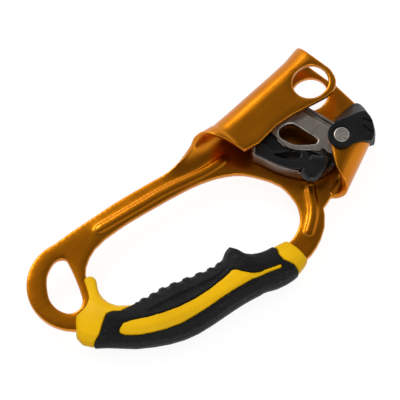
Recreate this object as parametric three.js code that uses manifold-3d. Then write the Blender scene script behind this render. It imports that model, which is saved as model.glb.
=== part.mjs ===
// A hand ascender: a rope clamp on a folded plate frame with a moulded handle grip.
// Millimetres. It lies on its back: +Y runs up the rope, +Z is the front face, and the rope
// channel is on the left. While the pieces are made, the cam's axle is the origin and the
// frame plate's back face is z = 0. At the end the group is moved so that the origin is the
// middle of the bounding box's underside.
import * as THREE from 'three';
import { mergeVertices } from 'three/addons/utils/BufferGeometryUtils.js';
import Module from 'manifold-3d';

// Driving dimensions: the folded plate
const sheet = 3.2;
const channelGap = 12.8;
const channelReach = 50.9;
const headTop = 22.7;
const headTopRight = 4;
const frontWallReach = 20.9;
const frontWallHeight = 60.9;
const topSlope = 1.9;
const frontWallTop = 21.6;
const mouthDrop = 37.5;
const topFlare = 1.6;
const stripLap = 2.8;
const flatCurl = 0.02;
const earDistance = 13.3;
const earAngle = 21.8;
const earLow = 26.2;
const earHigh = 8.6;
const earBossRadius = 6.6;
const handleDrop = 171;
const handleWidth = 97;
const eyeOuterRadius = 24.3;
const upperHoleWidth = 17.6;
const upperHoleLength = 18.8;
const upperHoleLeft = 32.1;
const upperHoleUp = 9.7;
const beadWidth = 6.2;
const beadTopWidth = 3.6;
const beadRise = 1;

// Driving dimensions: axle, sleeve and washers
const axleRadius = 3;
const axleHeadRadius = 4.1;
const axleHeadHeight = 1.9;
const axleRearRadius = 5;
const axleRearHeight = 1.3;
const sleeveWall = 1;
const washerThickness = 0.8;
const washerRadius = 5.3;
const clearance = 0.3;

// Driving dimensions: cam
const camTipGap = 5.9;
const camGrowth = 0.115;
const camNoseAngle = 184.5;
const camTipAngle = 236;
const camHubRadius = 6.1;
const cheek = 2.3;
const camHeadWall = 4.4;
const camTipWall = 1.9;
const camBottomWall = 1.8;
const camRidgeStep = 4.3;
const camRidgeWidth = 1.3;
const camRidgeRise = 1.5;
const camLipDrop = 1.6;
const camNoseSkin = 1.3;
const windowFlare = 0.7;
const camTopRise = 5.9;
const camTopSlope = 12;
const toothHeight = 1.1;
const toothRadius = 0.85;
const toothPitch = 3.5;
const toothLean = 25;
const slotWidth = 2.6;
const springWire = 1;
const springRadius = 5.3;
const springTurns = 3;

// Driving dimensions: catch
const catchPinRadius = 1.1;
const catchPinHeadRadius = 1.9;
const catchPinHeadHeight = 0.7;
const catchKnuckle = 2;
const catchFrontSkin = 1.3;
const padCrown = 0.5;
const catchSwing = 5;
const catchSpringWire = 0.5;
const catchSpringTurns = 3;

// Driving dimensions: palm cap
const capWall = 2.1;
const capBossRadius = 7;
const capGrooveWidth = 0.9;
const capGrooveDepth = 1.1;

// Driving dimensions: grip
const gripHalfDepth = 12;
const gripSkin = 2.6;
const gripProud = 0.5;
const recessDepth = 0.8;
const eyeRim = 3.2;
const serrationCount = 9;
const serrationHeight = 0.9;
const serrationFrom = 0.45;
const serrationTo = 0.74;

// Fineness of the round forms
const arcSteps = 8;
const filletSteps = 3;
const openingSteps = 52;
const wrapSteps = 12;
const channelStations = 24;
const earStations = 26;
const gripRingPoints = 16;
const gripStations = 26;
const innerRingPoints = 12;
const innerStations = 16;
const eyeSides = 56;
const coilSteps = 10;
const toothSides = 5;
const overrun = 1;
const leastFillet = 0.4;

// Worked-out places
const armWidth = 0.129 * handleWidth;
const camReach = channelReach - camTipGap;
const bendOuter = channelGap / 2 + sheet;
const bendMid = (channelGap + sheet) / 2;
const frontInner = sheet + channelGap;
const frontFace = frontInner + sheet;
const bendLine = -channelReach + bendOuter;
const frontCornerY = frontWallTop - frontWallHeight;
const camBack = sheet + beadRise + 1.5 * clearance;
const camFront = frontInner - 2 * clearance;
const camSplit = camFront - cheek;
const camFloor = camBack + cheek;
const camLip = camFront - camLipDrop;
const catchBack = camFloor + clearance;
const catchFace = camSplit - clearance;
const catchTop = camFront - clearance;
const catchPinTop = catchTop - catchFrontSkin;
const catchPin = new THREE.Vector2(-0.109 * camReach, -0.556 * camReach);
const earOut = new THREE.Vector2(Math.cos(rad(earAngle)), Math.sin(rad(earAngle)));
const earUp = new THREE.Vector2(-earOut.y, earOut.x);
const upperHole = new THREE.Vector2(-upperHoleLeft, upperHoleUp);

const shoulderLevel = camFloor + 1.9 * cheek;

const wasm = await Module();
wasm.setup();

// Small tools: angles, points and solids

function rad(degrees) {
  return THREE.MathUtils.degToRad(degrees);
}

function plan(xShare, yShare) {
  return new THREE.Vector2(xShare * handleWidth, -yShare * handleDrop);
}

function planPoints(shares) {
  return shares.map(([x, y]) => plan(x, y));
}

function polar(radius, degrees) {
  return new THREE.Vector2(radius * Math.cos(rad(degrees)), radius * Math.sin(rad(degrees)));
}

// A smooth line through points in the plan, as a list of points
function smooth(points, steps, closed = false) {
  const knots = points.map((p) => new THREE.Vector3(p.x, p.y, 0));
  const curve = new THREE.CatmullRomCurve3(knots, closed, 'centripetal');
  const line = curve.getPoints(steps).map((p) => new THREE.Vector2(p.x, p.y));
  return closed ? line.slice(0, -1) : line;
}

// An open line moved sideways, to its left when the distance is positive
function offset(line, distance) {
  return line.map((point, i) => {
    const before = line[Math.max(i - 1, 0)];
    const after = line[Math.min(i + 1, line.length - 1)];
    const run = after.clone().sub(before).normalize();
    return new THREE.Vector2(point.x - run.y * distance, point.y + run.x * distance);
  });
}

// A closed outline moved outwards all round, or inwards when the distance is negative
function grown(points, distance) {
  const away = THREE.ShapeUtils.isClockWise(points) ? distance : -distance;
  const count = points.length;
  return points.map((point, i) => {
    const run = point.clone().sub(points[(i + count - 1) % count]).normalize();
    const next = points[(i + 1) % count].clone().sub(point).normalize();
    const reach = away / Math.max(1 + run.dot(next), 0.4);
    const side = run.add(next);
    return new THREE.Vector2(point.x - side.y * reach, point.y + side.x * reach);
  });
}

// A closed outline with rounded corners, each corner given as x, y and its fillet radius
function rounded(corners) {
  const shape = new THREE.Shape();
  corners.forEach(([x, y, fillet], i) => {
    const here = new THREE.Vector2(x, y);
    const last = corners[(i + corners.length - 1) % corners.length];
    const next = corners[(i + 1) % corners.length];
    const back = new THREE.Vector2(last[0], last[1]).sub(here);
    const ahead = new THREE.Vector2(next[0], next[1]).sub(here);
    const room = Math.min(back.length(), ahead.length()) * 0.48;
    back.normalize();
    ahead.normalize();
    const half = Math.acos(THREE.MathUtils.clamp(back.dot(ahead), -1, 1)) / 2;
    const reach = Math.min(fillet / Math.tan(half), room);
    if (reach < leastFillet) {
      if (i) shape.lineTo(x, y);
      else shape.moveTo(x, y);
      return;
    }
    const radius = reach * Math.tan(half);
    const middle = back.clone().add(ahead).setLength(radius / Math.sin(half)).add(here);
    const from = back.clone().multiplyScalar(reach).add(here).sub(middle);
    const to = ahead.clone().multiplyScalar(reach).add(here).sub(middle);
    shape.absarc(middle.x, middle.y, radius, from.angle(), to.angle(), back.cross(ahead) > 0);
  });
  return shape;
}

// A geometry as a solid that can be joined and cut
function solid(geometry) {
  const bare = geometry.clone();
  bare.deleteAttribute('normal');
  bare.deleteAttribute('uv');
  const merged = mergeVertices(bare);
  return new wasm.Manifold(new wasm.Mesh({
    numProp: 3,
    vertProperties: new Float32Array(merged.attributes.position.array),
    triVerts: new Uint32Array(merged.index.array),
  }));
}

function geometryOf(body) {
  const mesh = body.getMesh();
  const geometry = new THREE.BufferGeometry();
  geometry.setAttribute('position', new THREE.BufferAttribute(mesh.vertProperties, 3));
  geometry.setIndex(new THREE.BufferAttribute(mesh.triVerts, 1));
  return geometry;
}

function join(bodies) {
  return bodies.reduce((whole, body) => whole.add(body));
}

function cut(body, tools) {
  return tools.reduce((rest, tool) => rest.subtract(tool), body);
}

// A plan outline, a shape or a list of points, raised from one height to another
function prism(outline, low, high) {
  const shape = Array.isArray(outline) ? new THREE.Shape(outline) : outline;
  const geometry = new THREE.ExtrudeGeometry(shape, {
    depth: high - low,
    bevelEnabled: false,
    curveSegments: filletSteps,
  });
  return solid(geometry.translate(0, 0, low));
}

function disc(centre, radius, low, high, sides = 4 * arcSteps) {
  const geometry = new THREE.CylinderGeometry(radius, radius, high - low, sides);
  return solid(geometry.rotateX(Math.PI / 2).translate(centre.x, centre.y, (low + high) / 2));
}

// A turned piece on a line parallel to Z, from a profile of radius and height
function turned(centre, profile, sides = 4 * arcSteps) {
  const points = profile.map(([radius, height]) => new THREE.Vector2(radius, height));
  const geometry = new THREE.LatheGeometry(points, sides);
  return solid(geometry.rotateX(Math.PI / 2).translate(centre.x, centre.y, 0));
}

// A closed solid through rings with the same number of points; flat gives the cap's own plane
function loft(rings, flat) {
  const count = rings[0].length;
  const positions = rings.flat().flatMap((p) => [p.x, p.y, p.z]);
  const faces = [];
  for (let i = 0; i + 1 < rings.length; i += 1) {
    for (let j = 0; j < count; j += 1) {
      const a = i * count + j;
      const b = i * count + ((j + 1) % count);
      faces.push(a, b, b + count, a, b + count, a + count);
    }
  }
  const caps = [rings[0], rings[rings.length - 1]];
  caps.forEach((ring, end) => {
    const base = end * (rings.length - 1) * count;
    const outline = ring.map((p) => flat(p));
    const clockwise = THREE.ShapeUtils.isClockWise(outline);
    THREE.ShapeUtils.triangulateShape(outline, []).forEach(([a, b, c]) => {
      const turn = new THREE.Vector2().subVectors(outline[b], outline[a])
        .cross(new THREE.Vector2().subVectors(outline[c], outline[a])) < 0;
      const same = turn === clockwise;
      const back = (end === 0) === same;
      faces.push(base + a, base + (back ? c : b), base + (back ? b : c));
    });
  });
  const geometry = new THREE.BufferGeometry();
  geometry.setAttribute('position', new THREE.Float32BufferAttribute(positions, 3));
  geometry.setIndex(faces);
  return solid(volumeOf(geometry) < 0 ? flipped(geometry) : geometry);
}

// A solid through outlines with the same number of points, each with its height
function layered(layers) {
  const rings = layers.map(([z, outline]) => outline.map((p) => new THREE.Vector3(p.x, p.y, z)));
  return loft(rings, (p) => new THREE.Vector2(p.x, p.y));
}

// An outline drawn towards a point by a share of its distance
function shrunk(outline, point, share) {
  return outline.map((p) => p.clone().lerp(point, share));
}

function volumeOf(geometry) {
  const at = (i) => new THREE.Vector3().fromBufferAttribute(geometry.attributes.position, i);
  const index = geometry.index.array;
  let sum = 0;
  for (let i = 0; i < index.length; i += 3) {
    sum += at(index[i]).dot(at(index[i + 1]).cross(at(index[i + 2])));
  }
  return sum / 6;
}

function flipped(geometry) {
  const index = Array.from(geometry.index.array);
  for (let i = 0; i < index.length; i += 3) {
    [index[i + 1], index[i + 2]] = [index[i + 2], index[i + 1]];
  }
  geometry.setIndex(index);
  return geometry;
}

// A round wire along points
function wire(points, radius) {
  const path = new THREE.CatmullRomCurve3(points);
  const ring = new THREE.Shape();
  ring.absarc(0, 0, radius, 0, 2 * Math.PI, false);
  const geometry = new THREE.ExtrudeGeometry(ring, {
    extrudePath: path,
    steps: points.length - 1,
    curveSegments: filletSteps,
    bevelEnabled: false,
  });
  return solid(geometry);
}

// Frame: the edge strips that roll up from the plate and back over it

// One section of a rolled strip: width is the flat width past the bend line, curl is 1 for the
// full bend, and flare pushes the rolled part outwards
function stripSection(place, { along, width, curl, flare }, grow) {
  const bend = Math.max(curl, flatCurl) / bendMid;
  const halfTurn = Math.PI / bend;
  const land = Math.max(sheet / 4, width - halfTurn);
  const rolled = width - land;
  const stops = [-stripLap];
  for (let i = 0; i <= wrapSteps; i += 1) stops.push((rolled * i) / wrapSteps);
  stops.push(rolled + land + grow);
  const faces = [1, -1].map((side) => stops.map((stop) => {
    const level = curl < flatCurl;
    const angle = level ? 0 : Math.min(Math.max(stop, 0) * bend, Math.PI);
    const past = Math.max(stop - halfTurn, 0);
    const flat = level ? stop : Math.min(stop, 0);
    const half = side * (sheet / 2 + grow);
    const out = flat + Math.sin(angle) / bend - past + (flare + half) * Math.sin(angle);
    const height = sheet / 2 + (1 - Math.cos(angle)) / bend - half * Math.cos(angle);
    const x = place.origin.x + place.up.x * along + place.out.x * out;
    const y = place.origin.y + place.up.y * along + place.out.y * out;
    return new THREE.Vector3(x, y, height);
  }));
  return faces[0].concat(faces[1].reverse());
}

function rolledStrip(place, rows, count, flareAt, grow = 0) {
  const knots = rows.map(([along, width, curl]) => new THREE.Vector3(along, width, curl * bendMid));
  const curve = new THREE.CatmullRomCurve3(knots, false, 'centripetal');
  const rings = curve.getPoints(count).map((p) => stripSection(place, {
    along: p.x,
    width: p.y,
    curl: THREE.MathUtils.clamp(p.z / bendMid, 0, 1),
    flare: flareAt(p.x),
  }, grow));
  const flat = (p) => new THREE.Vector2(
    (p.x - place.origin.x) * place.out.x + (p.y - place.origin.y) * place.out.y,
    p.z,
  );
  return loft(rings, flat);
}

// The channel's lower mouth, from the leg up to the front wall's lower corner: share of the
// mouth's drop, share of the full flat width, curl
const mouthShares = [
  [1, 0.266, 0],
  [0.965, 0.264, 0],
  [0.79, 0.24, 0.1],
  [0.55, 0.264, 0.48],
  [0.4, 0.29, 0.6],
  [0.33, 0.365, 0.72],
  [0.275, 0.43, 0.8],
  [0.227, 0.525, 0.84],
  [0.184, 0.62, 0.87],
  [0.128, 0.685, 0.9],
  [0.093, 0.751, 0.92],
  [0.056, 0.86, 0.94],
];

// The front wall's free edge, from its lower corner to its top: share of the wall's height,
// share of the wall's reach
const freeEdgeShares = [
  [0.004, 0.73],
  [0.26, 0.684],
  [0.47, 0.746],
  [0.65, 0.872],
  [0.83, 1],
  [0.9, 0.985],
  [0.95, 0.89],
  [0.98, 0.77],
  [1, 0.57],
];

function channelStrip() {
  const wrap = Math.PI * bendMid;
  const corner = wrap + frontWallReach * freeEdgeShares[0][1];
  const mouth = mouthShares.map(([drop, width, curl]) => [
    frontCornerY - drop * mouthDrop, width * corner, curl,
  ]);
  const edge = freeEdgeShares.map(([rise, reach]) => [
    frontCornerY + rise * frontWallHeight, wrap + reach * frontWallReach, 1,
  ]);
  const flareFrom = frontWallTop - frontWallHeight / 4;
  const flareAt = (along) => {
    return topFlare * THREE.MathUtils.smoothstep(along, flareFrom, frontWallTop);
  };
  const place = {
    origin: new THREE.Vector2(bendLine, 0),
    up: new THREE.Vector2(0, 1),
    out: new THREE.Vector2(-1, 0),
  };
  return rolledStrip(place, mouth.concat(edge), channelStations, flareAt);
}

// The right ear's mouth from its lower end, where it leaves the arm, towards the axle: share
// of the ear's drop below the axle, share of the full flat width
const earMouthShares = [
  [1, 0.03],
  [0.983, 0.085],
  [0.967, 0.13],
  [0.946, 0.175],
  [0.925, 0.228],
  [0.901, 0.285],
  [0.873, 0.345],
  [0.842, 0.405],
  [0.8, 0.468],
  [0.748, 0.54],
  [0.669, 0.635],
  [0.596, 0.7],
  [0.429, 0.8],
];

const earWrap = Math.PI * bendMid;
const earBossWidth = earWrap + earDistance - bendOuter;
const earPlace = {
  origin: earOut.clone().multiplyScalar(earDistance - bendOuter),
  up: earUp,
  out: earOut,
};

// The mouth's edge, as points of width and place along the ear
function earMouth() {
  const full = earBossWidth + earBossRadius;
  return smooth(earMouthShares.map(([drop, width]) => {
    return new THREE.Vector2(width * full, -drop * earLow);
  }), earStations);
}

// What is cut from the rolled part below the mouth's edge, square to the sheet everywhere
function belowMouth(grow) {
  const start = new THREE.Vector2(-stripLap - overrun, -earLow);
  const line = [start, ...earMouth()];
  const thick = sheet / 2 + overrun;
  const rings = line.map(({ x: width, y: along }) => {
    const angle = THREE.MathUtils.clamp(width / bendMid, 0, Math.PI);
    const past = Math.max(width - earWrap, 0);
    const flat = Math.min(width, 0) - past;
    const corner = (radius, at) => {
      const out = flat + radius * Math.sin(angle);
      const x = earPlace.origin.x + earUp.x * at + earOut.x * out;
      const y = earPlace.origin.y + earUp.y * at + earOut.y * out;
      return new THREE.Vector3(x, y, sheet / 2 + bendMid - radius * Math.cos(angle));
    };
    const low = -2 * earLow;
    return [
      corner(bendMid - thick, low), corner(bendMid + thick, low),
      corner(bendMid + thick, along - grow), corner(bendMid - thick, along - grow),
    ];
  });
  return loft(rings, (p) => new THREE.Vector2(p.x * earUp.x + p.y * earUp.y, p.z));
}

// What is cut from the ear's front wall, outside its free edge and the round end at the axle
function besideFrontWall(grow) {
  const far = 4 * earLow;
  const edge = earMouth().filter((p) => p.x > earWrap);
  const boss = [-0.9, -0.65, -0.3, 0, 0.35, 0.65, 0.88, 1].map((rise) => {
    const reach = earBossRadius * Math.sqrt(1 - rise * rise);
    return new THREE.Vector2(earBossWidth + reach, rise * earBossRadius);
  });
  const top = new THREE.Vector2(earWrap + sheet / 4, earHigh);
  const outline = [
    new THREE.Vector2(edge[0].x, -far),
    ...edge,
    ...boss,
    top,
    new THREE.Vector2(top.x, far),
    new THREE.Vector2(far, far),
    new THREE.Vector2(far, -far),
  ].map((p) => {
    const out = earWrap - p.x;
    return new THREE.Vector2(
      earPlace.origin.x + earUp.x * p.y + earOut.x * out,
      earPlace.origin.y + earUp.y * p.y + earOut.y * out,
    );
  });
  return prism(grown(outline, -grow), frontInner - overrun, frontFace + overrun);
}

function earStrip(grow = 0) {
  const full = earBossWidth + earBossRadius;
  const rows = [[-earLow - grow, full, 1], [earHigh + grow, full, 1]];
  const whole = rolledStrip(earPlace, rows, 1, () => 0, grow);
  return cut(whole, [belowMouth(grow), besideFrontWall(grow)]);
}

// Frame: the flat plate

// The handle opening's edge, as shares of the handle's width and drop, from the leg's top round
// the finger opening
const openingShares = [
  [-0.48, 0.735],
  [-0.473, 0.638],
  [-0.452, 0.57],
  [-0.4, 0.436],
  [-0.367, 0.373],
  [-0.322, 0.317],
  [-0.26, 0.269],
  [-0.174, 0.235],
  [-0.07, 0.21],
  [0.015, 0.211],
  [0.08, 0.221],
  [0.147, 0.25],
  [0.184, 0.295],
  [0.188, 0.322],
  [0.172, 0.385],
  [0.112, 0.495],
  [0.045, 0.6],
  [-0.005, 0.685],
  [-0.06, 0.765],
  [-0.15, 0.822],
  [-0.25, 0.842],
  [-0.36, 0.828],
  [-0.43, 0.8],
];

const eyeCentre = plan(-0.403, 0.857);

// The attachment eye's hole, as shares of the eye's radius from its centre
const eyeHoleShares = [
  [-0.658, 0.095],
  [-0.617, -0.123],
  [-0.519, -0.305],
  [-0.284, -0.51],
  [-0.103, -0.609],
  [0.132, -0.63],
  [0.37, -0.523],
  [0.444, -0.337],
  [0.379, -0.152],
  [0.152, -0.008],
  [-0.115, 0.111],
  [-0.383, 0.21],
  [-0.551, 0.243],
];

function eyeHole(growth = 0) {
  const corners = eyeHoleShares.map(([x, y]) => new THREE.Vector2(
    eyeCentre.x + x * eyeOuterRadius, eyeCentre.y + y * eyeOuterRadius,
  ));
  return grown(smooth(corners, 5 * arcSteps, true), growth);
}

// The leg's outer side, from the channel's mouth down to the eye
const legSideShares = [
  [-0.536, 0.452],
  [-0.562, 0.51],
  [-0.597, 0.613],
  [-0.632, 0.754],
  [-0.651, 0.862],
  [-0.45, 0.862],
  [-0.46, 0.7],
  [-0.42, 0.5],
  [-0.4, 0.452],
];

function earPoint(out, along) {
  return earOut.clone().multiplyScalar(out).addScaledVector(earUp, along);
}

const mouthFoot = frontCornerY - mouthDrop;

function headOutline() {
  const left = bendLine + stripLap / 2;
  const heel = earPoint(earDistance - bendOuter + 0.7 * sheet, -earLow);
  const neck = earPoint(earDistance - bendOuter + 0.6 * sheet, -earLow - sheet);
  const arm = earPoint(earDistance - bendOuter + 0.4 * sheet, -earLow - 2.2 * sheet);
  const shoulder = earPoint(earDistance - sheet / 2, earHigh + clearance);
  return rounded([
    [left, mouthFoot + sheet / 4, 0],
    [plan(-0.3, 0).x, mouthFoot + sheet / 4, 0],
    [0, -earLow - armWidth, 0],
    [arm.x, arm.y, 0],
    [neck.x, neck.y, sheet],
    [heel.x, heel.y, 0],
    [shoulder.x, shoulder.y, sheet / 2],
    [-headTopRight, headTop, 2 * sheet],
    [left, headTop, 0],
  ]);
}

// The plate stops just inside the two bend lines, where the rolled strips carry on
function stripRoom() {
  const left = bendLine + stripLap / 2;
  const out = earDistance - bendOuter - stripLap / 2;
  const channelSide = [
    new THREE.Vector2(left, mouthFoot + sheet / 4),
    new THREE.Vector2(left, headTop + overrun),
    new THREE.Vector2(-channelReach, headTop + overrun),
    new THREE.Vector2(-channelReach, mouthFoot + sheet / 4),
  ];
  const earSide = [
    earPoint(out, sheet / 4 - earLow),
    earPoint(2 * earDistance, sheet / 4 - earLow),
    earPoint(2 * earDistance, earHigh + clearance),
    earPoint(out, earHigh + clearance),
  ];
  return [channelSide, earSide].map((room) => prism(room, -overrun, sheet + overrun));
}

// The channel's top edge slopes down towards the fold
function topTrim() {
  return [
    new THREE.Vector2(-channelReach - bendOuter, frontWallTop - topSlope),
    new THREE.Vector2(bendLine - bendMid / 4, frontWallTop - 0.8 * topSlope),
    new THREE.Vector2(upperHole.x + bendMid / 2, frontWallTop + topSlope / 4),
    new THREE.Vector2(upperHole.x, headTop + bendMid),
    new THREE.Vector2(-channelReach - bendOuter, headTop + bendMid),
  ];
}

function upperHoleOutline() {
  const oval = new THREE.EllipseCurve(
    upperHole.x, upperHole.y, upperHoleWidth / 2, upperHoleLength / 2,
  );
  return oval.getPoints(4 * arcSteps).slice(0, -1);
}

// A pressed stiffening bead along a line of points: raised in front, or the groove behind
function bead(line, low, rise) {
  const rings = [];
  const ends = [[0, 0.3], [0.012, 0.75], [0.035, 1]];
  const stops = ends.map(([share]) => share);
  for (let i = 1; i < 16; i += 1) stops.push(i / 16);
  ends.slice().reverse().forEach(([share]) => stops.push(1 - share));
  const path = new THREE.CatmullRomCurve3(line.map((p) => new THREE.Vector3(p.x, p.y, 0)));
  stops.forEach((stop) => {
    const near = Math.min(stop, 1 - stop);
    const end = ends.find(([share]) => near <= share + 0.001);
    const swell = end ? end[1] : 1;
    const at = path.getPointAt(stop);
    const run = path.getTangentAt(stop);
    const foot = (beadWidth / 2) * swell;
    const top = (beadTopWidth / 2) * swell;
    rings.push([[-foot, 0], [foot, 0], [top, 1], [-top, 1]].map(([side, up]) => new THREE.Vector3(
      at.x - run.y * side,
      at.y + run.x * side,
      up ? low + rise * (swell === 1 ? 1 : 0.8) : low - (rise > 0 ? sheet / 4 : -sheet / 4),
    )));
  });
  const flat = (p) => new THREE.Vector2(p.x + p.y, p.z);
  return loft(rings, flat);
}

const legBeadShares = [
  [-0.545, 0.7],
  [-0.508, 0.6],
  [-0.458, 0.463],
  [-0.41, 0.37],
  [-0.392, 0.335],
  [-0.382, 0.3],
  [-0.376, 0.265],
];

const armBeadShares = [
  [0.035, 0.142],
  [0.06, 0.158],
  [0.118, 0.18],
  [0.168, 0.207],
  [0.2, 0.233],
  [0.232, 0.263],
];

function makeFrame() {
  const opening = smooth(planPoints(openingShares), openingSteps, true);
  const flatPlate = join([
    prism(grown(opening, armWidth), 0, sheet),
    disc(eyeCentre, eyeOuterRadius, 0, sheet, eyeSides),
    prism(planPoints(legSideShares), 0, sheet),
    prism(headOutline(), 0, sheet),
  ]);
  const plate = join([cut(flatPlate, stripRoom()), channelStrip(), earStrip()]);
  const allThrough = [-overrun, frontFace + overrun];
  const holes = [
    prism(opening, -overrun, sheet + overrun),
    prism(eyeHole(), -overrun, sheet + overrun),
    prism(upperHoleOutline(), ...allThrough),
    prism(topTrim(), ...allThrough),
    disc(new THREE.Vector2(), axleRadius + clearance, ...allThrough),
  ];
  const beads = [legBeadShares, armBeadShares].map(planPoints);
  const ribbed = join([cut(plate, holes), ...beads.map((line) => bead(line, sheet, beadRise))]);
  return cut(ribbed, beads.map((line) => bead(line, 0, beadRise)));
}

// Cam: a cast body with a toothed head, two cheeks and a hollow for the catch

function camRadius(degrees) {
  return camReach * Math.exp(camGrowth * (rad(degrees) - rad(camTipAngle)));
}

function camSpiral(from, to, inset, steps = 24) {
  const line = [];
  for (let i = 0; i <= steps; i += 1) {
    const degrees = from + ((to - from) * i) / steps;
    line.push(polar(camRadius(degrees) - inset(i / steps), degrees));
  }
  return line;
}

// The bottom wall's outer line from the toothed tip to the hub, as shares of the cam's reach
const camBottomShares = [
  [-0.56, -0.829],
  [-0.464, -0.79],
  [-0.331, -0.748],
  [-0.198, -0.69],
  [-0.07, -0.612],
  [0.035, -0.528],
  [0.096, -0.445],
  [0.118, -0.36],
  [0.128, -0.27],
];

function camBottom() {
  return smooth(camBottomShares.map(([x, y]) => {
    return new THREE.Vector2(x * camReach, y * camReach);
  }), 24);
}

// Height of a line that rises to the right past the axle, at a given x
function camTopLine(x, drop = 0) {
  const slope = rad(camTopSlope);
  return (camTopRise - drop) / Math.cos(slope) + x * Math.tan(slope);
}

function camOutline() {
  const spiral = camSpiral(camNoseAngle, camTipAngle, () => 0);
  const bottom = camBottom().slice(1);
  const hub = [];
  for (let i = 0; i <= 12; i += 1) hub.push(polar(camHubRadius, -40 + (165 * i) / 12));
  const top = new THREE.Vector2(-camHubRadius, camTopLine(-camHubRadius));
  return [...spiral, ...bottom, ...hub, top];
}

// The front cheek's lower edge, as shares of the cam's reach
const armEdgeShares = [
  [-0.74, -0.49],
  [-0.65, -0.495],
  [-0.574, -0.5],
  [-0.479, -0.514],
  [-0.401, -0.512],
  [-0.337, -0.497],
  [-0.257, -0.45],
  [-0.199, -0.398],
  [-0.137, -0.334],
  [-0.079, -0.283],
  [0.031, -0.204],
  [0.13, -0.15],
];

function armEdge() {
  return armEdgeShares.map(([x, y]) => new THREE.Vector2(x * camReach, y * camReach));
}

const windowShares = [
  [-0.532, -0.448],
  [-0.559, -0.406],
  [-0.558, -0.345],
  [-0.537, -0.288],
  [-0.499, -0.252],
  [-0.422, -0.233],
  [-0.312, -0.212],
  [-0.219, -0.193],
  [-0.178, -0.203],
  [-0.164, -0.232],
  [-0.186, -0.272],
  [-0.243, -0.34],
  [-0.298, -0.396],
  [-0.345, -0.428],
  [-0.417, -0.45],
  [-0.482, -0.465],
];

// The rear cheek's window is larger and lies further up the cam
const rearWindowShift = [-0.05, 0.06];

function windowOutline() {
  return smooth(windowShares.map(([x, y]) => new THREE.Vector2(x * camReach, y * camReach)), 32, true);
}

function camWindows() {
  const outline = windowOutline();
  const front = layered([
    [camSplit - overrun, outline],
    [camFront - windowFlare, outline],
    [camFront + windowFlare, grown(outline, 2 * windowFlare)],
  ]);
  const [right, up] = rearWindowShift;
  const rear = grown(windowOutline(), cheek / 2).map((p) => {
    return new THREE.Vector2(p.x + right * camReach, p.y + up * camReach);
  });
  return [front, prism(rear, camBack - overrun, camFloor + overrun)];
}

function camTeeth() {
  const teeth = [];
  const count = Math.floor(rad(camTipAngle - camNoseAngle) * camReach / toothPitch) - 1;
  const rows = [0.14, 0.34, 0.66, 0.86];
  for (let i = 0; i < count; i += 1) {
    const degrees = camNoseAngle + 3 + ((camTipAngle - camNoseAngle - 5) * (i + 0.5)) / count;
    rows.forEach((row) => {
      const height = toothHeight * 2;
      const cone = new THREE.ConeGeometry(toothRadius, height, toothSides);
      cone.rotateZ(rad(degrees - 90 + toothLean));
      const at = polar(camRadius(degrees), degrees);
      const z = camBack + row * (camFront - camBack);
      teeth.push(solid(cone.translate(at.x, at.y, z)));
    });
  }
  return teeth;
}

// The strip between two lines that run parallel to the cam's top edge
function topStrip(from, to, low) {
  const far = 2 * camReach;
  return prism([
    new THREE.Vector2(-far, camTopLine(-far, from)),
    new THREE.Vector2(0, camTopLine(0, from)),
    new THREE.Vector2(0, camTopLine(0, to)),
    new THREE.Vector2(-far, camTopLine(-far, to)),
  ], low, camFront + overrun);
}

// The inner face of the toothed head, drawn in by the head's wall and a gap
function headInside(gap) {
  return camSpiral(camNoseAngle + 6, camTipAngle - 2, (t) => {
    return THREE.MathUtils.lerp(camHeadWall, camTipWall, t) + gap;
  });
}

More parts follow.
